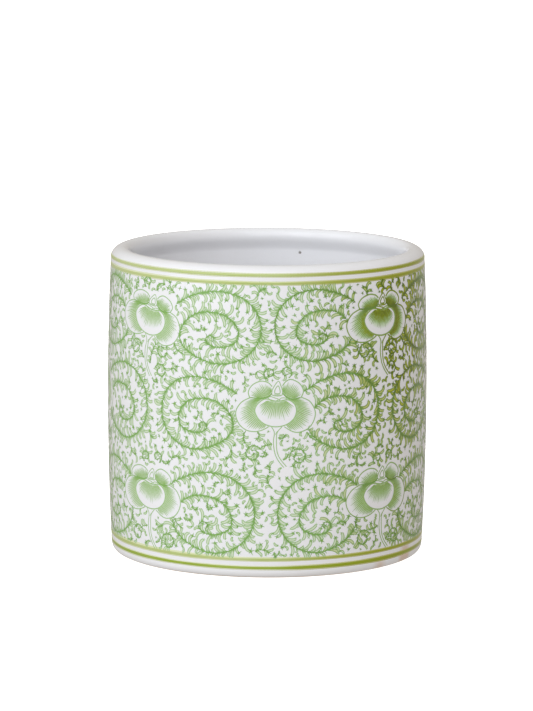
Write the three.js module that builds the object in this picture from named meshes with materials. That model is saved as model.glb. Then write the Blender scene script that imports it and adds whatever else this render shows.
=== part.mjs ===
// Brush holder pot: a wide porcelain cylinder with a rounded, inward-thickened lip,
// a floor disc luted inside the wall, and a trimmed foot ring that the pot stands on.
// Millimetres, +Z up, origin at the centre of the standing plane, front towards -Y.

import * as THREE from 'three';

// Driving dimensions
const HEIGHT = 158;          // standing plane to the crest of the lip
const BELLY_RADIUS = 82.5;   // widest radius of the outside wall
const BELLY_HEIGHT = 80;     // height of that widest place
const SIDE_FALL = 1.7;       // how much the wall narrows from belly to either end
const CREST_RADIUS = 74.5;   // radius of the lip's highest circle
const SHOULDER_HEIGHT = 5;   // height of the rounded outside of the lip
const THROAT_RADIUS = 71;    // narrowest inside radius, at the lip's inner bulge
const THROAT_DEPTH = 4.5;    // depth of the throat below the crest
const BULGE_DEPTH = 12;      // depth below the crest where the bulge has died away
const BORE_RADIUS = 73.3;    // inside radius of the wall below the bulge
const FOOT_HEIGHT = 3;       // height of the foot ring
const FOOT_FLAT_RADIUS = 77; // outer radius of the flat that touches the table
const FOOT_BORE_RADIUS = 68; // inside radius of the foot ring
const FOOT_EASE = 1;         // rounding of the foot ring's inside edge
const FLOOR_THICKNESS = 6;   // thickness of the floor disc
const JOINT_GAP = 0.3;       // slip joint between wall, floor and foot

const SIDES = 72;            // facets round the pot
const SIDE_STEPS = 8;        // profile steps up the outside wall
const CURVE_STEPS = 5;       // profile steps along each rounded stretch

const WALL_BOTTOM = FOOT_HEIGHT + JOINT_GAP;
const SHOULDER_BOTTOM = HEIGHT - SHOULDER_HEIGHT;
const FLOOR_TOP = WALL_BOTTOM + FLOOR_THICKNESS;

const glazedPorcelain = () => new THREE.MeshStandardMaterial({
  color: 0xeceef3,
  roughness: 0.12,
  metalness: 0,
});

const barePorcelain = () => new THREE.MeshStandardMaterial({
  color: 0xdccfc2,
  roughness: 0.75,
  metalness: 0,
});

// Radius of the gently barrelled outside at a height.
function sideRadius(z) {
  const span = SHOULDER_BOTTOM - BELLY_HEIGHT;
  const t = (z - BELLY_HEIGHT) / span;
  return BELLY_RADIUS - SIDE_FALL * t * t;
}

// Points on an elliptical quarter from one angle to another, ends included.
function arcPoints(centreR, centreZ, halfR, halfZ, fromAngle, toAngle) {
  const points = [];
  for (let i = 0; i <= CURVE_STEPS; i += 1) {
    const angle = fromAngle + ((toAngle - fromAngle) * i) / CURVE_STEPS;
    const r = centreR + halfR * Math.cos(angle);
    const z = centreZ + halfZ * Math.sin(angle);
    points.push(new THREE.Vector2(r, z));
  }
  return points;
}

// Points up the outside wall, from its bottom edge to just under the shoulder.
function sidePoints() {
  const points = [];
  for (let i = 0; i < SIDE_STEPS; i += 1) {
    const z = WALL_BOTTOM + ((SHOULDER_BOTTOM - WALL_BOTTOM) * i) / SIDE_STEPS;
    points.push(new THREE.Vector2(sideRadius(z), z));
  }
  return points;
}

// Points down the underside of the lip's bulge, easing from the throat to the bore.
function bulgePoints() {
  const points = [];
  for (let i = 1; i <= CURVE_STEPS; i += 1) {
    const t = i / CURVE_STEPS;
    const ease = t * t * (3 - 2 * t);
    const r = THROAT_RADIUS + (BORE_RADIUS - THROAT_RADIUS) * ease;
    const z = HEIGHT - THROAT_DEPTH - (BULGE_DEPTH - THROAT_DEPTH) * t;
    points.push(new THREE.Vector2(r, z));
  }
  return points;
}

// Turns a closed radius/height profile about the Z axis.
function turned(name, profile, material) {
  const geometry = new THREE.LatheGeometry([...profile, profile[0]], SIDES);
  geometry.rotateX(Math.PI / 2);
  const mesh = new THREE.Mesh(geometry, material);
  mesh.name = name;
  return mesh;
}

function bodyWall() {
  const shoulder = arcPoints(
    CREST_RADIUS, SHOULDER_BOTTOM,
    sideRadius(SHOULDER_BOTTOM) - CREST_RADIUS, SHOULDER_HEIGHT,
    0, Math.PI / 2,
  );
  const innerLip = arcPoints(
    CREST_RADIUS, HEIGHT - THROAT_DEPTH,
    CREST_RADIUS - THROAT_RADIUS, THROAT_DEPTH,
    Math.PI / 2, Math.PI,
  ).slice(1);
  const profile = [
    new THREE.Vector2(BORE_RADIUS, WALL_BOTTOM),
    ...sidePoints(),
    ...shoulder,
    ...innerLip,
    ...bulgePoints(),
  ];
  return turned('body_wall', profile, glazedPorcelain());
}

function floorDisc() {
  const radius = BORE_RADIUS - JOINT_GAP;
  const profile = [
    new THREE.Vector2(0, WALL_BOTTOM),
    new THREE.Vector2(radius, WALL_BOTTOM),
    new THREE.Vector2(radius, FLOOR_TOP),
    new THREE.Vector2(0, FLOOR_TOP),
  ];
  return turned('floor_disc', profile, glazedPorcelain());
}

function footRing() {
  const outerTop = sideRadius(WALL_BOTTOM);
  const outerEdge = arcPoints(
    FOOT_FLAT_RADIUS, FOOT_HEIGHT,
    outerTop - FOOT_FLAT_RADIUS, FOOT_HEIGHT,
    -Math.PI / 2, 0,
  );
  const innerEdge = arcPoints(
    FOOT_BORE_RADIUS + FOOT_EASE, FOOT_EASE,
    FOOT_EASE, FOOT_EASE,
    Math.PI, 1.5 * Math.PI,
  );
  const profile = [
    ...outerEdge,
    new THREE.Vector2(FOOT_BORE_RADIUS, FOOT_HEIGHT),
    ...innerEdge,
  ];
  return turned('foot_ring', profile, barePorcelain());
}

const group = new THREE.Group();
group.add(bodyWall(), floorDisc(), footRing());

export default group;
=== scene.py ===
"""Looks for the porcelain brush holder pot: glazed body, bare foot, lime bands and the leaf-green print.

Lengths are millimetres until a mesh is made. The print is drawn on the outside wall unrolled flat:
u runs round the belly from the front (-Y) towards +X, and h is the height above the table.
"""
import math
import random

import bpy
import numpy as np
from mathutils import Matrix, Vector


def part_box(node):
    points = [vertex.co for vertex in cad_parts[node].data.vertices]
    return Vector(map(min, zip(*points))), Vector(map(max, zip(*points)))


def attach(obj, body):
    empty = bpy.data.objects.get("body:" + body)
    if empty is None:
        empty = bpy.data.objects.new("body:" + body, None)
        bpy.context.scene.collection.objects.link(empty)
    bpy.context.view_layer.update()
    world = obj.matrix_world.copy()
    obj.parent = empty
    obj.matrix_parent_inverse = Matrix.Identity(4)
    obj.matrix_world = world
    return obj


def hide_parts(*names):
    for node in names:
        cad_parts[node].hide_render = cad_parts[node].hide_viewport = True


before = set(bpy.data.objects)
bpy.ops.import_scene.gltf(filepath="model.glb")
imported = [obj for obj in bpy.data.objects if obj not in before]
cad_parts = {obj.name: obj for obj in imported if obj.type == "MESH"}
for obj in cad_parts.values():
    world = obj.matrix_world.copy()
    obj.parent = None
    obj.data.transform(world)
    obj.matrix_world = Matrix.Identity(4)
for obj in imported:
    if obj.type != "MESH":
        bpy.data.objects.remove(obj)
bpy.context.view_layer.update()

MM = 0.001
_, wall_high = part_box("body_wall")
_, foot_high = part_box("foot_ring")
_, floor_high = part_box("floor_disc")

# The pot's profile, as in the CAD part
HEIGHT = wall_high[2] / MM
BELLY_RADIUS = wall_high[0] / MM
BELLY_HEIGHT = 80
SIDE_FALL = 1.7
CREST_RADIUS = 74.5
SHOULDER_HEIGHT = 5
SHOULDER_BOTTOM = HEIGHT - SHOULDER_HEIGHT
THROAT_RADIUS = 71
THROAT_DEPTH = 4.5
BULGE_DEPTH = 12
JOINT_GAP = 0.3              # between the wall and the floor, as in the CAD part
BORE_RADIUS = floor_high[0] / MM + JOINT_GAP
FOOT_HEIGHT = foot_high[2] / MM
FOOT_FLAT_RADIUS = 77
FOOT_BORE_RADIUS = 68
FLOOR_TOP = floor_high[2] / MM
GLAZE_EDGE = 0.6             # the glaze stops this far above the table
GLAZE_SKIRT = 0.5            # how far the glaze stands out over the bare foot
COVE_RADIUS = 6              # rounding where the wall meets the floor inside

# The print
PANEL = BELLY_RADIUS * math.pi / 2   # the design comes round every quarter of the wall
REPEAT = 2 * PANEL                   # two quarters are drawn, with their flowers set a little differently
REPEATS = 2
LOWER_FIELD, UPPER_FIELD = 10.4, 149.6  # heights between which the scrolls grow
CELL = 0.3                              # size of the cells that record where ink lies
FINE = 0.42                             # width of an engraved fine line
LARGE_STEM, SMALL_STEM = 0.54, 0.45     # widths of the scrolls' stems and of the tendrils'
PETALS = 1                              # owner number of the flowers
FIRST_STEM = 10                         # owner number of the first stem; its leaves have the next one
FIRST_FILLER = 1000                     # owner numbers above this belong to what fills the gaps
PETAL_INK = 0.58                        # strength of a petal's wash at its root
SHADED_SIDE = 56                         # the side where painted shade darkens the print's inks, in degrees from the front to +X; it faces away from the soft boxes
dice = random.Random(11)


# ---------------------------------------------------------------- camera

def make_camera():
    """A long lens a little above the rim, as a catalogue photograph is taken."""
    axis_height = 85.2 * MM
    distance = 2.138              # metres from the pot's axis
    elevation = math.radians(9.43)
    roll = math.radians(0.236)
    spot = Vector((0, -distance * math.cos(elevation), axis_height + distance * math.sin(elevation)))
    aim = Vector((-0.00046, 0, axis_height + 0.0156))
    camera = bpy.data.cameras.new("camera")
    camera.lens = 209
    camera.sensor_width = 36
    camera.clip_end = 20
    obj = bpy.data.objects.new("camera", camera)
    bpy.context.collection.objects.link(obj)
    obj.location = spot
    turn = (aim - spot).to_track_quat("-Z", "Y").to_matrix().to_4x4()
    obj.rotation_euler = turn.to_euler()
    obj.rotation_euler.rotate_axis("Z", roll)
    bpy.context.scene.camera = obj


# ---------------------------------------------------------------- material helpers

def srgb(red, green, blue):
    """A colour given as screen values from 0 to 255, in linear light."""
    linear = []
    for value in (red, green, blue):
        v = value / 255
        linear.append(v / 12.92 if v <= 0.04045 else ((v + 0.055) / 1.055) ** 2.4)
    return (*linear, 1)


WHITE = srgb(240, 241, 246)


class Nodes:
    """Adds and links nodes in one tree."""

    def __init__(self, tree):
        self.tree = tree

    def add(self, kind, **values):
        node = self.tree.nodes.new(kind)
        for key, value in values.items():
            setattr(node, key, value)
        return node

    def link(self, output, target):
        self.tree.links.new(output, target)

    def noise(self, scale, detail, coords):
        node = self.add("ShaderNodeTexNoise")
        node.inputs["Scale"].default_value = scale
        node.inputs["Detail"].default_value = detail
        self.link(coords, node.inputs["Vector"])
        return node.outputs["Fac"]

    def ramp(self, factor, *stops):
        node = self.add("ShaderNodeValToRGB")
        ramp = node.color_ramp
        while len(ramp.elements) < len(stops):
            ramp.elements.new(0.5)
        for element, (place, colour) in zip(ramp.elements, stops):
            element.position = place
            element.color = colour
        self.link(factor, node.inputs["Fac"])
        return node.outputs["Color"]

    def span(self, value, low, high, to_low=0, to_high=1):
        node = self.add("ShaderNodeMapRange")
        ends = {"From Min": low, "From Max": high, "To Min": to_low, "To Max": to_high}
        for name, number in ends.items():
            node.inputs[name].default_value = number
        self.link(value, node.inputs["Value"])
        return node.outputs["Result"]

    def mix(self, factor, first, second):
        node = self.add("ShaderNodeMix", data_type="RGBA")
        self.feed(node.inputs[0], factor)
        self.feed(node.inputs[6], first)
        self.feed(node.inputs[7], second)
        return node.outputs[2]

    def maths(self, operation, *values):
        node = self.add("ShaderNodeMath", operation=operation)
        for socket, value in zip(node.inputs, values):
            self.feed(socket, value)
        return node.outputs["Value"]

    def bump(self, height, distance, strength):
        node = self.add("ShaderNodeBump")
        node.inputs["Distance"].default_value = distance
        node.inputs["Strength"].default_value = strength
        self.link(height, node.inputs["Height"])
        return node.outputs["Normal"]

    def feed(self, socket, value):
        if isinstance(value, bpy.types.NodeSocket):
            self.link(value, socket)
        else:
            socket.default_value = value


def new_material(name):
    """A material with its node helper, its main shader and its object coordinates."""
    material = bpy.data.materials.new(name)
    material.use_nodes = True
    nodes = Nodes(material.node_tree)
    shader = material.node_tree.nodes["Principled BSDF"]
    place = nodes.add("ShaderNodeTexCoord").outputs["Object"]
    return material, nodes, shader, place


# ---------------------------------------------------------------- materials

GLAZE_MARKS = (  # colour, where it is in millimetres, its size
    (srgb(96, 84, 72), (17.2, 71, 145), 1.5),          # iron speck inside, below the lip
    (srgb(150, 138, 120), (-31, 66.2, 139), 0.6),      # faint speck inside
    (srgb(150, 138, 120), (41, -71.6, 4.4), 0.5),      # faint speck at the foot
    (srgb(220, 192, 172), (71.5, -38.5, 3), 11),       # warm pinkish patch at the foot
    (srgb(226, 206, 192), (58, -56, 1.5), 9),          # fainter warm pinkish patch beside it
)


def glaze_mark(nodes, place, tone, colour, centre, size):
    """A small coloured mark in the glaze, with an uneven edge."""
    away = nodes.add("ShaderNodeVectorMath", operation="DISTANCE")
    nodes.link(place, away.inputs[0])
    away.inputs[1].default_value = [c * MM for c in centre]
    extent = size * MM
    unevenness = nodes.span(nodes.noise(600 / size, 2, place), 0.3, 0.7, -0.2 * extent, 0.2 * extent)
    ragged = nodes.maths("ADD", away.outputs["Value"], unevenness)
    return nodes.mix(nodes.span(ragged, 0.3 * extent, 0.7 * extent, 0.85, 0), tone, colour)


def glazed_porcelain():
    """White glazed body: faint cloudy tone, a slightly uneven gloss, and a few specks and warm patches."""
    material, nodes, shader, place = new_material("glazed_porcelain")
    cloud = nodes.noise(14, 3, place)
    tone = nodes.ramp(cloud, (0.3, srgb(238, 239, 243)), (0.7, srgb(242, 242, 246)))
    grain = nodes.noise(900, 2, place)
    tone = nodes.mix(nodes.span(grain, 0.3, 0.75, 0, 0.05), tone, srgb(214, 212, 206))
    for colour, centre, size in GLAZE_MARKS:
        tone = glaze_mark(nodes, place, tone, colour, centre, size)
    nodes.link(tone, shader.inputs["Base Color"])
    peel = nodes.noise(160, 2, place)
    nodes.link(nodes.span(peel, 0.3, 0.7, 0.07, 0.12), shader.inputs["Roughness"])
    nodes.link(nodes.bump(nodes.noise(70, 2, place), 0.00005, 0.5), shader.inputs["Normal"])
    shader.inputs["IOR"].default_value = 1.5
    return material


def bare_porcelain():
    """Unglazed biscuit on the foot: warm, matt and slightly sandy, with rubbed dark grains."""
    material, nodes, shader, place = new_material("bare_porcelain")
    cloud = nodes.noise(40, 4, place)
    tone = nodes.ramp(cloud, (0.3, srgb(214, 190, 172)), (0.7, srgb(232, 219, 207)))
    grain = nodes.noise(1500, 2, place)
    tone = nodes.mix(nodes.span(grain, 0.6, 0.75, 0, 0.4), tone, srgb(176, 140, 112))
    nodes.link(tone, shader.inputs["Base Color"])
    nodes.link(nodes.span(grain, 0.3, 0.7, 0.65, 0.85), shader.inputs["Roughness"])
    nodes.link(nodes.bump(grain, 0.00008, 0.6), shader.inputs["Normal"])
    return material


def ink(name, thin, full, shade_colour):
    """Brushed enamel whose strength wanders, with painted shade: it turns to the dark shade colour on the
    side away from the lamps.
    """
    material, nodes, shader, place = new_material(name)
    wander = nodes.noise(30, 2, place)
    tone = nodes.ramp(wander, (0.35, thin), (0.65, full))
    split = nodes.add("ShaderNodeSeparateXYZ")
    nodes.link(place, split.inputs[0])
    side = math.radians(SHADED_SIDE)
    along = nodes.maths("ADD", nodes.maths("MULTIPLY", split.outputs["X"], math.sin(side)),
                        nodes.maths("MULTIPLY", split.outputs["Y"], -math.cos(side)))
    radius = BELLY_RADIUS * MM
    # painted shade: mixes in the dark olive shade colour on the side of the pot turned away from the lamps
    tone = nodes.mix(nodes.span(along, 0.6 * radius, 0.98 * radius), tone, shade_colour)
    nodes.link(tone, shader.inputs["Base Color"])
    nodes.link(nodes.span(wander, 0.3, 0.7, 0.12, 0.2), shader.inputs["Roughness"])
    shader.inputs["IOR"].default_value = 1.5
    return material


def fused_inks(name, thin, shade_colour, tones=4):
    """The same print colour in several steps of painted shade, from the lit colour to the shaded one, each
    the same all over.
    """
    materials = []
    for i in range(tones):
        material, _, shader, _ = new_material(f"{name}_{i + 1}")
        t = i / (tones - 1)
        shader.inputs["Base Color"].default_value = [a + (b - a) * t for a, b in zip(thin, shade_colour)]
        shader.inputs["Roughness"].default_value = 0.12
        shader.inputs["IOR"].default_value = 1.5
        materials.append(material)
    return materials


def petal_ink():
    """The petals' wash: full at the root and fading to white at the rim, lightly speckled, and darker and
    more olive where shade is painted on the side away from the lamps.
    """
    material, nodes, shader, place = new_material("petal_wash")
    strength = nodes.add("ShaderNodeAttribute", attribute_name="ink").outputs["Fac"]
    speckle = nodes.span(nodes.noise(700, 2, place), 0.3, 0.7, 0.85, 1.15)
    strength = nodes.maths("MULTIPLY", strength, speckle)
    # the two olive stops are reached only where painted shade strengthens the wash
    tone = nodes.ramp(strength, (0, WHITE), (0.35, srgb(174, 206, 140)),
                      (0.52, srgb(150, 168, 14)), (0.7, srgb(116, 124, 0)))
    nodes.link(tone, shader.inputs["Base Color"])
    shader.inputs["Roughness"].default_value = 0.12
    shader.inputs["IOR"].default_value = 1.5
    return material


# ---------------------------------------------------------------- turned pieces

def side_radius(h):
    """Radius of the outside wall at a height, up over the rounded shoulder."""
    t = (min(h, SHOULDER_BOTTOM) - BELLY_HEIGHT) / (SHOULDER_BOTTOM - BELLY_HEIGHT)
    radius = BELLY_RADIUS - SIDE_FALL * t * t
    if h > SHOULDER_BOTTOM:
        rise = min((h - SHOULDER_BOTTOM) / SHOULDER_HEIGHT, 1)
        radius = CREST_RADIUS + (radius - CREST_RADIUS) * math.sqrt(1 - rise * rise)
    return radius


def arc(centre_r, centre_z, half_r, half_z, start, end, steps=20):
    """Points on an ellipse between two angles in degrees, both ends included."""
    points = []
    for i in range(steps + 1):
        angle = math.radians(start + (end - start) * i / steps)
        points.append((centre_r + half_r * math.cos(angle), centre_z + half_z * math.sin(angle)))
    return points


def turned(name, profile, material, sides=288):
    """A closed radius/height profile turned about the pot's axis, as a smooth mesh."""
    verts, faces, rings = [], [], []
    for r, z in profile:
        if r < 1e-6:
            rings.append([len(verts)])
            verts.append((0, 0, z * MM))
            continue
        ring = []
        for i in range(sides):
            angle = 2 * math.pi * i / sides
            ring.append(len(verts))
            verts.append((r * math.sin(angle) * MM, -r * math.cos(angle) * MM, z * MM))
        rings.append(ring)
    pairs = list(zip(rings, rings[1:]))
    if len(rings[0]) > 1:
        pairs.append((rings[-1], rings[0]))
    for low, high in pairs:
        for i in range(sides):
            j = (i + 1) % sides
            if len(low) == 1 and len(high) == 1:
                break
            if len(low) == 1:
                faces.append((low[0], high[j], high[i]))
            elif len(high) == 1:
                faces.append((low[i], low[j], high[0]))
            else:
                faces.append((low[i], low[j], high[j], high[i]))
    return new_piece(name, verts, faces, material)


def new_piece(name, verts, faces, material):
    """A smooth mesh piece that rides on the pot's one body."""
    mesh = bpy.data.meshes.new(name)
    mesh.from_pydata(verts, [], faces)
    mesh.materials.append(material)
    mesh.polygons.foreach_set("use_smooth", [True] * len(mesh.polygons))
    mesh.update()
    piece = bpy.data.objects.new(name, mesh)
    bpy.context.collection.objects.link(piece)
    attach(piece, "root")
    return piece


def make_body(material):
    """The glazed wall with its lip, inner bulge and the glaze edge over the foot."""
    corner = FOOT_HEIGHT + 1
    foot_corner = arc(FOOT_FLAT_RADIUS, corner, side_radius(corner) - FOOT_FLAT_RADIUS, corner, -60, 0, 12)
    foot_corner = [p for p in foot_corner if p[1] > GLAZE_EDGE]
    edge_r = foot_corner[0][0]
    wall = []
    steps = 48
    for i in range(1, steps):
        h = corner + (SHOULDER_BOTTOM - corner) * i / steps
        wall.append((side_radius(h), h))
    shoulder_r = side_radius(SHOULDER_BOTTOM) - CREST_RADIUS
    shoulder = arc(CREST_RADIUS, SHOULDER_BOTTOM, shoulder_r, SHOULDER_HEIGHT, 0, 90, 24)
    lip = arc(CREST_RADIUS, HEIGHT - THROAT_DEPTH, CREST_RADIUS - THROAT_RADIUS, THROAT_DEPTH, 90, 180, 24)
    bulge = []
    for i in range(1, 13):
        t = i / 12
        ease = t * t * (3 - 2 * t)
        depth = THROAT_DEPTH + (BULGE_DEPTH - THROAT_DEPTH) * t
        bulge.append((THROAT_RADIUS + (BORE_RADIUS - THROAT_RADIUS) * ease, HEIGHT - depth))
    bottom = [
        (BORE_RADIUS, FOOT_HEIGHT),
        (edge_r - GLAZE_SKIRT, FOOT_HEIGHT),
        (edge_r - GLAZE_SKIRT, GLAZE_EDGE + 0.1),
        (edge_r - GLAZE_SKIRT / 2, GLAZE_EDGE),
    ]
    inside = [(BORE_RADIUS, h) for h in (120, 90, 60, 30, FLOOR_TOP)]
    profile = bottom + foot_corner + wall + shoulder + lip[1:] + bulge + inside
    body = turned("porcelain_body", profile, material)
    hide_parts("body_wall")
    return edge_r


def make_floor(material):
    """The floor slab, coved up into the wall inside and flat in the foot's recess."""
    under = FOOT_HEIGHT + JOINT_GAP
    reach = BORE_RADIUS - 0.05
    cove = arc(reach - COVE_RADIUS, FLOOR_TOP + COVE_RADIUS, COVE_RADIUS, COVE_RADIUS, 0, -90, 16)
    profile = [(0, under), (60, under), (reach, under), *cove, (40, FLOOR_TOP - 0.1), (0, FLOOR_TOP - 0.2)]
    slab = turned("porcelain_floor", profile, material, 192)
    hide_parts("floor_disc")


def make_foot(material, edge_r):
    """The trimmed foot ring, bare where it stands."""
    outer = edge_r - GLAZE_SKIRT - 0.02
    top = FOOT_HEIGHT + 0.25
    toe = arc(FOOT_FLAT_RADIUS, 0.9, outer - FOOT_FLAT_RADIUS, 0.9, -90, 0, 8)
    heel = arc(FOOT_BORE_RADIUS + 1, 1, 1, 1, 180, 270, 8)
    ring = turned("bare_foot", [*toe, (outer, top), (FOOT_BORE_RADIUS, top), *heel], material)
    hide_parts("foot_ring")


def make_band(name, height, width, lift, spread, material):
    """One painted line round the pot: a low bead of enamel whose width wavers with the brush.

    Its upper edge also spreads by up to spread, most on the side across from the one with painted shade;
    the band's enamel carries that painted shade."""
    verts, faces = [], []
    sides = 360
    for i in range(sides):
        angle = 2 * math.pi * i / sides
        waver = 1 + 0.08 * math.sin(3 * angle + height) + 0.05 * math.sin(11 * angle + 2 * height)
        drift = 0.1 * math.sin(2 * angle + 3 * height)
        half = width * waver / 2
        upper = half + spread * (0.5 - 0.5 * math.cos(angle - math.radians(SHADED_SIDE)))
        for offset, proud in ((-half, -0.02), (-half * 0.7, lift), (upper * 0.7, lift), (upper, -0.02)):
            h = height + drift + offset
            r = side_radius(h) + proud
            verts.append((r * math.sin(angle) * MM, -r * math.cos(angle) * MM, h * MM))
    for i in range(sides):
        a, b = 4 * i, 4 * ((i + 1) % sides)
        for k in range(3):
            faces.append((a + k, b + k, b + k + 1, a + k + 1))
        faces.append((a + 3, b + 3, b, a))
    band = new_piece(name, verts, faces, material)


# ---------------------------------------------------------------- drawing on the unrolled wall

class Ground:
    """Who already holds each cell of the repeating drawing, so that growth can keep clear of it."""

    def __init__(self):
        self.columns = round(REPEAT / CELL)
        self.rows = round((UPPER_FIELD - LOWER_FIELD) / CELL)
        self.owner = np.zeros((self.rows, self.columns), int)

    def block(self, u, h, reach):
        """The rows and columns of the cells within reach of a place; columns wrap round."""
        spread = range(-round(reach / CELL), round(reach / CELL) + 1)
        column = math.floor(u / CELL)
        row = math.floor((h - LOWER_FIELD) / CELL)
        rows = [row + k for k in spread if 0 <= row + k < self.rows]
        return np.ix_(rows, [(column + k) % self.columns for k in spread])

    def mark(self, points, reach, owner):
        """Gives the cells within reach of each point to an owner."""
        for u, h in points:
            self.owner[self.block(u, h, reach)] = owner

    def free(self, u, h, reach, ignoring=0):
        """Whether nobody else holds a cell within reach."""
        if not LOWER_FIELD <= h <= UPPER_FIELD:
            return False
        cells = self.owner[self.block(u, h, reach)]
        return not ((cells > 0) & (cells != ignoring)).any()

    def holds(self, u, h, owner):
        """Whether an owner holds the cell at a place."""
        return (self.owner[self.block(u, h, 0)] == owner).any()

    def fill(self, outline, owner):
        """Gives every cell inside a closed outline to an owner."""
        points = np.array(outline)
        low, high = points.min(0), points.max(0)
        for h in np.arange(low[1], high[1], CELL / 2):
            crossings = []
            for (u0, h0), (u1, h1) in zip(outline, outline[1:] + outline[:1]):
                if (h0 > h) != (h1 > h):
                    crossings.append(u0 + (h - h0) * (u1 - u0) / (h1 - h0))
            crossings.sort()
            for left, right in zip(crossings[::2], crossings[1::2]):
                self.mark([(u, h) for u in np.arange(left, right, CELL / 2)], 0, owner)


class Print:
    """The strips of each ink, as left and right edges, and the petals' shaded grids."""

    def __init__(self):
        self.strips = {"tint": [], "hatch": [], "line": [], "stem": []}
        self.washes = []

    def strip(self, layer, left, right):
        self.strips[layer].append((left, right))

    def stroke(self, layer, points, width, taper=True):
        """A brushed line: full width in the middle and fine at its ends."""
        last = len(points) - 1
        widths = []
        for i in range(last + 1):
            t = i / last
            widths.append(width * (0.45 + 0.55 * math.sin(math.pi * t) ** 0.5) if taper else width)
        self.strip(layer, *edges(points, widths))

    def spike(self, layer, start, angle, length, width):
        """A thorn: wide where it starts and sharp at its end."""
        tip = (start[0] + length * math.cos(angle), start[1] + length * math.sin(angle))
        self.strip(layer, *edges([start, tip], [width, 0.05]))


def edges(points, widths):
    """The left and right edges of a path with a width at each point."""
    left, right = [], []
    last = len(points) - 1
    for i, (u, h) in enumerate(points):
        before, after = points[max(i - 1, 0)], points[min(i + 1, last)]
        du, dh = after[0] - before[0], after[1] - before[1]
        size = math.hypot(du, dh) or 1
        across = (-dh / size * widths[i] / 2, du / size * widths[i] / 2)
        left.append((u + across[0], h + across[1]))
        right.append((u - across[0], h - across[1]))
    return left, right


def grow(start, heading, bend, length, steps):
    """A path that leaves along heading and bends more and more, by bend radians by its end."""
    points = [start]
    u, h = start
    for i in range(steps):
        angle = heading + bend * ((i + 0.5) / steps) ** 1.6
        u += length / steps * math.cos(angle)
        h += length / steps * math.sin(angle)
        points.append((u, h))
    return points


def smooth(points, steps=6, closed=False):
    """A Catmull-Rom curve through a few points."""
    count = len(points)
    curve = []
    for i in range(count if closed else count - 1):
        if closed:
            a, b, c, d = (points[(i + k) % count] for k in (-1, 0, 1, 2))
        else:
            a, b, c, d = (points[min(max(i + k, 0), count - 1)] for k in (-1, 0, 1, 2))
        for k in range(steps):
            t = k / steps
            curve.append(tuple(
                0.5 * (2 * q + (r - p) * t + (2 * p - 5 * q + 4 * r - s) * t * t
                       + (3 * q - p - 3 * r + s) * t ** 3)
                for p, q, r, s in zip(a, b, c, d)))
    curve.append(curve[0] if closed else points[-1])
    return curve


def along(curve, count):
    """Points at equal steps of length along a curve."""
    lengths = [0]
    for a, b in zip(curve, curve[1:]):
        lengths.append(lengths[-1] + math.dist(a, b))
    wanted = np.linspace(0, lengths[-1], count)
    us = np.interp(wanted, lengths, [p[0] for p in curve])
    hs = np.interp(wanted, lengths, [p[1] for p in curve])
    return list(zip(us.tolist(), hs.tolist()))


def heading_at(points, i):
    """The direction of a path at one of its points."""
    before, after = points[max(i - 1, 0)], points[min(i + 1, len(points) - 1)]
    return math.atan2(after[1] - before[1], after[0] - before[0])


# ---------------------------------------------------------------- leaves

def star(art, ground, place, size, owner):
    """A small dark sprig of four to six points."""
    points = dice.choice((4, 5, 5, 6))
    first = dice.uniform(0, 2 * math.pi)
    for k in range(points):
        angle = first + 2 * math.pi * k / points + dice.uniform(-0.3, 0.3)
        art.spike("stem", place, angle, size * dice.uniform(0.6, 1.2), size * 0.4)
    ground.mark([place], size * 0.9, owner)


def tongue(art, path, width):
    """A pale leaflet between two soft lines: dark and narrow at its root, widest near its blunt tip."""
    last = len(path) - 1
    widths = [width * (0.25 + 0.75 * math.sin(math.pi * (0.04 + 0.7 * i / last))) for i in range(last + 1)]
    left, right = edges(path, widths)
    art.strip("tint", left, right)
    art.stroke("line", left, FINE, False)
    art.stroke("line", right, FINE, False)
    art.strip("stem", *edges(path[:3], [0.5, 0.36, 0.08]))


def teeth(art, tip, angle, size):
    """The two or three points of a leaflet's torn tip."""
    for fan in (-0.9, 0.1, 1.1)[dice.choice((0, 1, 1)):]:
        art.spike("line", tip, angle + fan, size * dice.uniform(0.7, 1.2), 0.55)


def leaf(art, ground, start, heading, side, length, starred, stem):
    """A leaflet that leaves its stem forwards and hooks away from it until something is in its way."""
    bend = side * math.radians(dice.uniform(50, 130))
    steps = 7
    clearance = 0.4        # room a leaflet needs on each side
    root_length = 3.2      # how far out its own stem doesn't count as being in its way
    shortest = 1.4
    path = grow(start, heading, bend, length, steps)
    kept = 0
    for place in path[1:]:
        if not LOWER_FIELD < place[1] < UPPER_FIELD:
            break
        ignoring = stem if math.dist(place, start) < root_length else 0
        if not ground.free(*place, clearance, ignoring):
            break
        kept += 1
    if kept * length / steps < shortest:
        return
    path = path[:kept + 1]
    tongue(art, path, min(1.3, 0.6 + 0.12 * length))
    tip = path[-1]
    angle = heading_at(path, kept) + side * 0.5
    inside = LOWER_FIELD + 1.8 < tip[1] < UPPER_FIELD - 1.8
    if starred and inside and kept == steps:
        star(art, ground, tip, dice.uniform(1.3, 2.0), stem + 1)
    else:
        teeth(art, tip, angle, 1.1)
    ground.mark(path[2:], clearance, stem + 1)


def leaves(art, ground, curve, stem, spacing, lengths, starred):
    """Leaflets along both sides of a stem, each as long as there is room for."""
    total = sum(math.dist(a, b) for a, b in zip(curve, curve[1:]))
    points = along(curve, max(int(total / 0.4), 3))
    for side in (1, -1):
        wait = dice.uniform(0, spacing)
        for i in range(1, len(points) - 1):
            wait -= 0.4
            if wait > 0 or ground.holds(*points[i], PETALS):
                continue
            wait = spacing * dice.uniform(0.4, 1.6)
            heading = heading_at(points, i) + side * math.radians(dice.uniform(10, 45))
            length = dice.uniform(*lengths)
            leaf(art, ground, points[i], heading, side, length, dice.random() < starred, stem)


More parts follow.
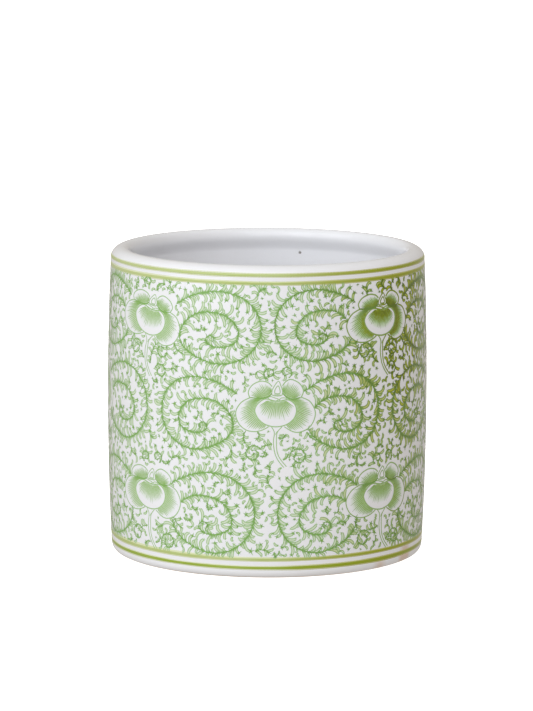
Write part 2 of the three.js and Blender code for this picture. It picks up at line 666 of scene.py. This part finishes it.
def thorns(art, ground, curve, longest):
    """Curved thorns that lean forwards off both sides of a stem."""
    total = sum(math.dist(a, b) for a, b in zip(curve, curve[1:]))
    points = along(curve, max(int(total / 0.4), 3))
    for side in (1, -1):
        i = 1
        while i < len(points) - 1:
            if not ground.holds(*points[i], PETALS):
                angle = heading_at(points, i) + side * math.radians(dice.uniform(15, 45))
                length = longest * dice.uniform(0.45, 1)
                path = grow(points[i], angle, side * dice.uniform(0.3, 1.3), length, 3)
                art.strip("stem", *edges(path, [0.4, 0.36, 0.26, 0.08]))
            i += dice.choice((2, 3, 4, 5))


def stem_line(art, ground, curve, width):
    """Draws a stem wherever no petal is in front of it."""
    seen = []
    for place in curve + [None]:
        if place and not ground.holds(*place, PETALS):
            seen.append(place)
            continue
        if len(seen) > 2:
            art.stroke("stem", seen, width)
        seen = []


# ---------------------------------------------------------------- scrolls

SCROLLS = (  # centre u, h; half width, half height; side its flower is on (-1 left, 1 right)
    (-24.6, 127.0, 21.4, 18.2, -1),
    (23.9, 128.4, 20.2, 17.9, 1),
    (-37.6, 83.4, 19.9, 18.4, 1),
    (41.4, 84.3, 20.2, 19.2, -1),
    (-28.1, 32.9, 22.0, 20.6, -1),
    (26.4, 33.1, 20.9, 20.2, 1),
)

SCROLL = (  # in half widths and half heights from the centre; the flower is at the left
    (-1.14, 0.58), (-0.8, 0.8), (-0.4, 0.95), (0, 1), (0.5, 0.87), (0.87, 0.5), (1, 0), (0.87, -0.5),
    (0.5, -0.87), (0, -1), (-0.5, -0.87), (-0.87, -0.63), (-1.03, -0.35), (-0.98, -0.05),
    (-0.83, 0.17), (-0.58, 0.36), (-0.28, 0.42), (0.09, 0.36), (0.34, 0.17), (0.46, -0.08),
    (0.43, -0.33), (0.25, -0.48), (0, -0.54), (-0.21, -0.5), (-0.33, -0.4), (-0.32, -0.28),
    (-0.21, -0.23), (-0.12, -0.31), (-0.17, -0.4))


def scroll_stem(u, h, half_u, half_h, flower_side):
    """A flattened spiral that starts beside its flower and curls up inside."""
    return smooth([(u - flower_side * half_u * x, h + half_h * y) for x, y in SCROLL], 5)


def small_curl(centre, radius, start, turns, way):
    """A tendril that winds in on itself."""
    points = []
    steps = int(turns * 18)
    for k in range(steps + 1):
        t = k / steps
        angle = math.radians(start) + way * 2 * math.pi * turns * t
        r = radius * (1 - 0.62 * t)
        points.append((centre[0] + r * math.cos(angle), centre[1] + r * math.sin(angle)))
    return points


# ---------------------------------------------------------------- flower

FLOWERS = (  # bud u and h, stretch of the left half, height of the crown, tilt in degrees
    (-65.1, 133.6, 1.14, 0.78, -8),
    (4.8, 91.4, 1, 1, 0),
    (-65.3, 44.6, 1.14, 0.8, -3),
    (PANEL - 64.9, 134.2, 1.12, 0.82, 0),
    (PANEL + 4.8, 91.4, 1, 1, 0),
    (PANEL - 64.9, 45.2, 1.12, 0.9, 2))

FRONT = ((-10.6, -3.6), (-10.9, -6.2), (-8.9, -9.9), (-5.3, -12.5), (-0.5, -13.5), (4.7, -12.5),
         (8.5, -9.6), (9.9, -5.8), (9.3, -2.8), (7.6, -0.9), (5.2, 0.1), (0, -0.6), (-5.4, 0.6), (-8.6, -1))
LEFT_SIDE = ((-13.2, 1.2), (-17.8, -1.4), (-20.6, -6.4), (-19.2, -11.8), (-15.6, -15.1), (-11.3, -16),
             (-7.3, -15.2), (-4, -13.4))
RIGHT_SIDE = ((12.1, 1.3), (16.7, -1), (19.5, -6), (18.8, -10.8), (16, -14.6), (11.6, -16.4),
              (8, -16), (3.8, -13.5))
LEFT_TOP = ((-13.6, 1.2), (-14.2, 4.3), (-12, 7.7), (-8, 9.5), (-4.4, 8.8), (-2.4, 6.8))
RIGHT_TOP = ((12.4, 1.4), (13.4, 4.6), (11.4, 8.2), (7.4, 10.3), (4.7, 9.5), (2.8, 7.2))
LEFT_CREASE = ((-13.4, 1.2), (-8.6, 0.9), (-4.4, 1.6), (-2.4, 3.6))
RIGHT_CREASE = ((12.2, 1.3), (8.2, 0.4), (5.2, 1.2), (2.8, 3.6))
BUD = ((-2.1, 2.4), (-2.4, 4.6), (-1.2, 7.2), (0.8, 9.5), (2, 7.2), (2.8, 4.6), (2.2, 2.3))
BUD_HEART = ((-0.9, 3.4), (-0.9, 5.2), (0.6, 7.2), (1.5, 5.2), (1.4, 3.4))
LEFT_COLLAR = ((-4.4, 1.5), (-3.2, -0.1), (-0.8, -0.5), (0.8, 0.4), (-1, 1.1), (-2.8, 1.7))
RIGHT_COLLAR = ((1.2, -0.2), (3, -0.5), (4.9, 0.6), (3.4, 1.1), (2, 0.9))
STALK_LEFT = ((-2.6, -13.6), (-1.4, -15.6), (-1.2, -17.5), (-1.6, -21.4), (-0.9, -26.8), (0.8, -30.6),
              (3.6, -34.2))
STALK_RIGHT = ((2.6, -13.6), (0.9, -15.4), (0, -17.4), (-0.1, -21.4), (0.2, -26), (1.8, -29.8),
               (5, -33.8))
STALK_SPLIT = ((-0.7, -17.6), (0, -16.2), (0.8, -15.4))


PETAL_FANS = (  # root and rim that the shading fans between, how many lines, how far it reaches
    (((-4.6, -0.2), (-2, -0.7), (0, -1), (2, -0.9), (4.4, -0.4)),
     ((-10.9, -4.6), (-9.6, -9.2), (-5.3, -12.5), (-0.5, -13.5), (4.7, -12.5), (8.9, -9), (9.9, -4.6)),
     22, 0.7),
    (((-5.6, 1.0), (-8.8, -0.5), (-10.7, -3.4), (-10.8, -6.6), (-8.9, -10.1), (-5.4, -12.7)),
     ((-15, 0.4), *LEFT_SIDE[1:7]), 26, 0.76),
    (((5.2, 0.6), (7.8, -0.6), (9.6, -3), (9.8, -6.4), (8.4, -9.9), (4.8, -12.7)),
     ((14, 0.5), *RIGHT_SIDE[1:7]), 26, 0.76),
    (((-9, 1.1), (-6, 1.4), (-4, 2.2), (-2.8, 4)),
     ((-14, 2.8), (-12.6, 6.8), (-8, 9.5), (-4.4, 8.8), (-2.8, 7.2)), 16, 0.78),
    (((8.6, 0.8), (6.2, 1), (4.6, 2), (3, 4)),
     ((13.4, 3.2), (12, 7.4), (7.4, 10.3), (4.7, 9.5), (3, 7.6)), 16, 0.78),
)


def at(origin, points):
    """Points of the flower drawing, placed, stretched and tilted for one flower."""
    u, h, stretch, crown, tilt = origin
    across, up = math.cos(math.radians(tilt)), math.sin(math.radians(tilt))
    places = []
    for x, y in points:
        x *= stretch if x < 0 else 1
        y *= crown if y > 0 else 1
        places.append((u + x * across - y * up, h + x * up + y * across))
    return places


def petal(art, origin, root, rim, lines, reach):
    """One petal's wash and hatching, which fan from its root towards its rim."""
    fine = 24
    inner = along(smooth(at(origin, root)), fine + 1)
    outer = along(smooth(at(origin, rim)), fine + 1)
    rings = 8
    grid = []
    for j in range(rings + 1):
        t = reach * 1.06 * j / rings
        row = []
        for a, b in zip(inner, outer):
            row.append((a[0] + (b[0] - a[0]) * t, a[1] + (b[1] - a[1]) * t))
        grid.append((PETAL_INK * (1 - (j / rings) ** 2), row))
    art.washes.append(grid)
    inner = along(smooth(at(origin, root)), lines)
    outer = along(smooth(at(origin, rim)), lines)
    for a, b in zip(inner, outer):
        end = reach * dice.uniform(0.75, 1.15)
        begin = dice.uniform(0, 0.06)
        path = [(a[0] + (b[0] - a[0]) * t, a[1] + (b[1] - a[1]) * t) for t in np.linspace(begin, end, 5)]
        art.strip("hatch", *edges(path, [0.26, 0.34, 0.34, 0.26, 0.08]))


def flower(art, ground, origin):
    """One flower on its stalk; the ground it covers is kept clear of everything else."""
    for outline in (FRONT, LEFT_SIDE + (FRONT[4], FRONT[0]), RIGHT_SIDE + (FRONT[5], FRONT[8]),
                    LEFT_TOP + LEFT_CREASE[::-1], RIGHT_TOP + RIGHT_CREASE[::-1], BUD):
        shape = smooth(at(origin, outline), 4, True)
        ground.fill(shape, PETALS)
    for root, rim, lines, reach in PETAL_FANS:
        petal(art, origin, root, rim, lines, reach)
    art.stroke("line", smooth(at(origin, FRONT), 5, True), 0.54, False)
    for outline in (LEFT_SIDE, RIGHT_SIDE, LEFT_TOP, RIGHT_TOP):
        art.stroke("line", smooth(at(origin, outline), 6), 0.5, False)
    for outline in (LEFT_CREASE, RIGHT_CREASE):
        art.stroke("stem", smooth(at(origin, outline), 6), 0.7)
    for outline in (BUD, BUD_HEART, LEFT_COLLAR, RIGHT_COLLAR):
        art.stroke("line", smooth(at(origin, outline), 5, True), 0.4, False)
    for k in range(4):
        middle = 0.85 * k - 1.2
        turns = np.linspace(0, 2 * math.pi, 9)
        ring = [(middle + 0.3 * math.cos(a), 2.6 + 0.42 * math.sin(a)) for a in turns]
        art.stroke("line", at(origin, ring), 0.2, False)
    left, right = smooth(at(origin, STALK_LEFT), 5), smooth(at(origin, STALK_RIGHT), 5)
    art.stroke("line", left, 0.42, False)
    art.stroke("line", right, 0.42, False)
    art.stroke("line", smooth(at(origin, STALK_SPLIT), 3), 0.3)
    ground.fill(left + right[::-1], PETALS)
    ground.mark(left + right, 0.5, PETALS)


def sprays(origin):
    """The small tendrils around a flower; those under the outer flowers crowd closer to the stalk."""
    u, h, stretch, _, _ = origin
    curls = [
        small_curl((u - 3.6, h + 13.4), 3.2, 250, 1.1, -1),
        small_curl((u + 4.6, h + 14), 3.2, 290, 1.1, 1),
        smooth([(u - 13.5, h - 13), (u - 16.4, h - 17.5), (u - 16, h - 22)], 5),
        smooth([(u + 14.5, h - 15), (u + 17, h - 19), (u + 20.5, h - 21)], 5),
    ]
    if stretch == 1 or h < HEIGHT / 2:
        curls += [
            smooth([(u - 1.6, h - 21.8), (u - 4.4, h - 22.8), (u - 7.6, h - 23.4)], 5),
            small_curl((u - 11.7, h - 27.3), 4.6, 25, 1.25, 1),
            smooth([(u + 0.6, h - 30.5), (u + 4, h - 30), (u + 6.4, h - 27)], 5),
            small_curl((u + 11, h - 29), 4.8, 205, 1.25, -1),
        ]
    else:
        curls += [
            smooth([(u - 3, h - 27), (u - 6, h - 25), (u - 7.6, h - 22)], 5),
            small_curl((u - 12, h - 20.5), 4.6, 0, 1.3, 1),
            smooth([(u - 1, h - 28), (u + 0.4, h - 22), (u + 3.2, h - 17.4)], 5),
            small_curl((u + 7, h - 20.5), 4.7, 150, 1.3, -1),
            small_curl((u + 6.5, h - 31), 4.0, 160, 1.2, -1),
        ]
    return curls


def frond(art, ground, path, reach, owner):
    """A short stalk with leaflets down both sides and a dark tip."""
    art.stroke("stem", path, 0.4)
    thorns(art, ground, path, 1.5)
    leaves(art, ground, path, owner, 1.5, (0.9 * reach, 1.7 * reach), 0.2)
    star(art, ground, path[-1], 1.4, owner)


def nearest_ink(ground, u, h, reach):
    """The closest inked place to a bare one, or a random place near by if none is close."""
    for away in np.arange(reach, reach + 3, 0.3):
        for turn in np.linspace(0, 2 * math.pi, 24, endpoint=False) + dice.uniform(0, 0.26):
            place = (u + away * math.cos(turn), h + away * math.sin(turn))
            if LOWER_FIELD < place[1] < UPPER_FIELD and not ground.free(*place, 0.1):
                return place
    turn = dice.uniform(0, 2 * math.pi)
    return (u + reach * math.cos(turn), h + reach * math.sin(turn))


def fill_gaps(art, ground):
    """Grows fronds and leaflets from the nearest ink wherever the ground is bare, the largest first."""
    owner = FIRST_FILLER
    for reach, tries in ((2.9, 9000), (2.1, 12000), (1.45, 16000), (1.05, 20000)):
        for _ in range(tries):
            u = dice.uniform(0, REPEAT)
            h = dice.uniform(LOWER_FIELD + 0.9 * reach, UPPER_FIELD - 0.9 * reach)
            if not ground.free(u, h, reach):
                continue
            owner += 2
            side = dice.choice((-1, 1))
            start = nearest_ink(ground, u, h, reach)
            heading = math.atan2(h - start[1], u - start[0]) - side * dice.uniform(0.3, 0.8)
            length = math.dist(start, (u, h)) + 0.7 * reach
            path = grow(start, heading, side * dice.uniform(1.2, 2.4), length, 6)
            if reach > 1.6:
                frond(art, ground, path, reach, owner)
            elif dice.random() < 0.2:
                star(art, ground, (u, h), reach * 0.95, owner)
            else:
                tongue(art, path, 0.85)
                teeth(art, path[-1], heading + side * 1.6, 0.9)
            ground.mark(path, 0.5, owner)


def draw_print():
    """Flowers first, then every stem, then leaflets from long to short, then whatever fills the gaps."""
    art, ground = Print(), Ground()
    for origin in FLOWERS:
        flower(art, ground, origin)
    stems = []
    for panel in range(2):
        for u, h, half_u, half_h, flower_side in SCROLLS:
            stems.append((scroll_stem(u + panel * PANEL, h, half_u, half_h, flower_side), LARGE_STEM))
    large = len(stems)
    for origin in FLOWERS:
        stems += [(stem, SMALL_STEM) for stem in sprays(origin) if max(p[1] for p in stem) < UPPER_FIELD]
    for i, (stem, width) in enumerate(stems):
        stem_line(art, ground, stem, width)
        thorns(art, ground, stem, 2.4 if width == LARGE_STEM else 1.4)
        outside = [p for p in stem if not ground.holds(*p, PETALS)]
        ground.mark(outside, 0.35, FIRST_STEM + 2 * i)
    for spacing, lengths, starred in ((4.6, (4.8, 7.6), 0.4), (2.1, (2.2, 4.8), 0.15)):
        for i, (stem, _) in enumerate(stems[:large]):
            leaves(art, ground, stem, FIRST_STEM + 2 * i, spacing, lengths, starred)
    for i, (stem, _) in enumerate(stems[large:], large):
        leaves(art, ground, stem, FIRST_STEM + 2 * i, 2.1, (2.6, 4.4), 0.2)
    fill_gaps(art, ground)
    return art


# ---------------------------------------------------------------- wrapping the print round the wall

def on_wall(u, h, lift, repeat):
    """A place on the unrolled wall, put on the pot just proud of its glaze."""
    angle = (u + repeat * REPEAT) / BELLY_RADIUS
    r = side_radius(h) + lift
    return (r * math.sin(angle) * MM, -r * math.cos(angle) * MM, h * MM)


def shade_weight(u, h, repeat):
    """How much shade is painted there, from 0 to 1: most on the side away from the lamps and more towards
    the top. It darkens the inks and widens the strips.
    """
    angle = (u + repeat * REPEAT) / BELLY_RADIUS - math.radians(SHADED_SIDE)
    up = min(max((h - 45) / 60, 0), 1)   # 0 below 45 mm and 1 above 105 mm
    return max(0, math.cos(angle)) ** 7 * (0.45 + 0.55 * up)


def wrap_strips(name, strips, lift, materials, spreading=0.3):
    """Every strip of one ink, all round the pot, as one piece with a material for each step of painted
    shade.

    Where shade is painted the strips are widened as well, so they darken further."""
    verts, faces, tones = [], [], []
    for repeat in range(REPEATS):
        for left, right in strips:
            first = len(verts)
            for a, b in zip(left, right):
                # painted shade: strips widen on the side away from the lamps
                spread = spreading * shade_weight(*a, repeat)
                for near, far in ((a, b), (b, a)):
                    u, h = (n + spread * (n - f) for n, f in zip(near, far))
                    verts.append(on_wall(u, h, lift, repeat))
            # painted shade: each strip takes a lighter or darker copy of its ink by where it lies
            tone = round(shade_weight(*left[0], repeat) * (len(materials) - 1) + dice.uniform(-0.3, 0.3))
            for i in range(first, len(verts) - 2, 2):
                faces.append((i, i + 1, i + 3, i + 2))
                tones.append(min(max(tone, 0), len(materials) - 1))
    piece = new_piece(name, verts, faces, materials[0])
    for material in materials[1:]:
        piece.data.materials.append(material)
    piece.data.polygons.foreach_set("material_index", tones)


def wrap_washes(name, grids, lift, material):
    """The petals' washed grids, with how strong the ink is at each vertex, made stronger where shade is
    painted.
    """
    verts, faces, strength = [], [], []
    for repeat in range(REPEATS):
        for grid in grids:
            first = len(verts)
            across = len(grid[0][1])
            for ink_here, row in grid:
                for place in row:
                    verts.append(on_wall(*place, lift, repeat))
                    # painted shade raises the wash's strength on the side away from the lamps
                    strength.append(ink_here * (0.42 + 0.7 * shade_weight(*place, repeat)))
            for j in range(len(grid) - 1):
                for i in range(across - 1):
                    a = first + j * across + i
                    faces.append((a, a + 1, a + across + 1, a + across))
    piece = new_piece(name, verts, faces, material)
    layer = piece.data.attributes.new("ink", "FLOAT", "POINT")
    layer.data.foreach_set("value", strength)


# ---------------------------------------------------------------- studio

ROOM = (0.52, 0.49, 0.45, 1)        # an even, slightly warm room
COOL = (0.9, 0.95, 1)               # the lamps' colour
SOFT_BOXES = ((-10, 35, 38), (-50, 25, 38))  # degrees round from the front, degrees up, watts
LAMP_SIZE = 3                       # metres
LAMP_DISTANCE = 3                   # metres from the pot


def make_studio():
    """A white table in an even, pale room, with white behind for the camera.

    The table glows so that it shows as white, and is left out of the pot's light and reflections."""
    bpy.ops.mesh.primitive_plane_add(size=40, location=(0, 0, 0))
    floor = bpy.context.object
    floor.name = "studio_floor"
    material, _, shader, _ = new_material("studio_floor")
    shader.inputs["Base Color"].default_value = (0.93, 0.93, 0.93, 1)
    shader.inputs["Emission Color"].default_value = (1, 1, 1, 1)
    shader.inputs["Emission Strength"].default_value = 1
    shader.inputs["Roughness"].default_value = 0.9
    shader.inputs["Specular IOR Level"].default_value = 0
    floor.data.materials.append(material)
    floor.visible_diffuse = False
    floor.visible_glossy = False
    world = bpy.data.worlds.new("studio")
    bpy.context.scene.world = world
    world.use_nodes = True
    nodes = Nodes(world.node_tree)
    background = world.node_tree.nodes["Background"]
    seen = nodes.add("ShaderNodeLightPath").outputs["Is Camera Ray"]
    nodes.link(nodes.mix(seen, ROOM, (1, 1, 1, 1)), background.inputs["Color"])
    background.inputs["Strength"].default_value = 1
    bpy.context.scene.view_settings.view_transform = "Standard"


def make_soft_box(azimuth, elevation, watts):
    """A wide lamp that looks at the pot."""
    lamp = bpy.data.lights.new("soft_box", "AREA")
    lamp.size = LAMP_SIZE
    lamp.energy = watts
    lamp.color = COOL
    box = bpy.data.objects.new("soft_box", lamp)
    bpy.context.collection.objects.link(box)
    turn, tilt = math.radians(azimuth), math.radians(elevation)
    towards = Vector((math.cos(tilt) * math.sin(turn), -math.cos(tilt) * math.cos(turn), math.sin(tilt)))
    box.location = LAMP_DISTANCE * towards
    box.rotation_euler = towards.to_track_quat("Z", "Y").to_euler()


make_camera()
make_studio()
for soft_box in SOFT_BOXES:
    make_soft_box(*soft_box)
porcelain = glazed_porcelain()
edge_radius = make_body(porcelain)
make_floor(porcelain)
make_foot(bare_porcelain(), edge_radius)
# the last colour of each enamel is its painted shade colour, for the side away from the lamps
bleed = ink("bled_enamel", srgb(222, 228, 190), srgb(214, 222, 172), srgb(190, 190, 110))
lime = ink("lime_enamel", srgb(158, 178, 78), srgb(140, 162, 38), srgb(148, 160, 0))
pale_lime = ink("pale_lime_enamel", srgb(190, 202, 138), srgb(176, 192, 112), srgb(154, 162, 0))
for band_name, band_height, band_width, left_spread, band_ink in (
    ("lime_band_1", 5.7, 1.7, 0, lime),
    ("lime_band_2", 10.0, 1.3, 0.5, pale_lime),
    ("lime_band_3", 149.7, 1.4, 0.2, pale_lime),
    ("lime_band_4", 153.8, 1.4, 0, pale_lime),
):
    make_band(band_name, band_height, band_width, 0.07, left_spread, band_ink)
    make_band(band_name + "_bleed", band_height, band_width + 1.1, 0.03, 2.4 * left_spread, bleed)

art = draw_print()
# each print ink runs from its lit colour to a darker olive painted shade colour
wrap_strips("print_leaf_tints", art.strips["tint"], 0.02,
            fused_inks("leaf_tint", srgb(212, 224, 200), srgb(188, 192, 30)))
wrap_washes("print_petal_washes", art.washes, 0.02, petal_ink())
wrap_strips("print_hatching", art.strips["hatch"], 0.035,
            fused_inks("hatching_ink", srgb(140, 182, 102), srgb(98, 114, 0)), 0)
wrap_strips("print_fine_lines", art.strips["line"], 0.045,
            fused_inks("fine_line_ink", srgb(160, 197, 136), srgb(124, 144, 0)))
wrap_strips("print_stems", art.strips["stem"], 0.06,
            fused_inks("stem_ink", srgb(130, 176, 94), srgb(94, 116, 0)))
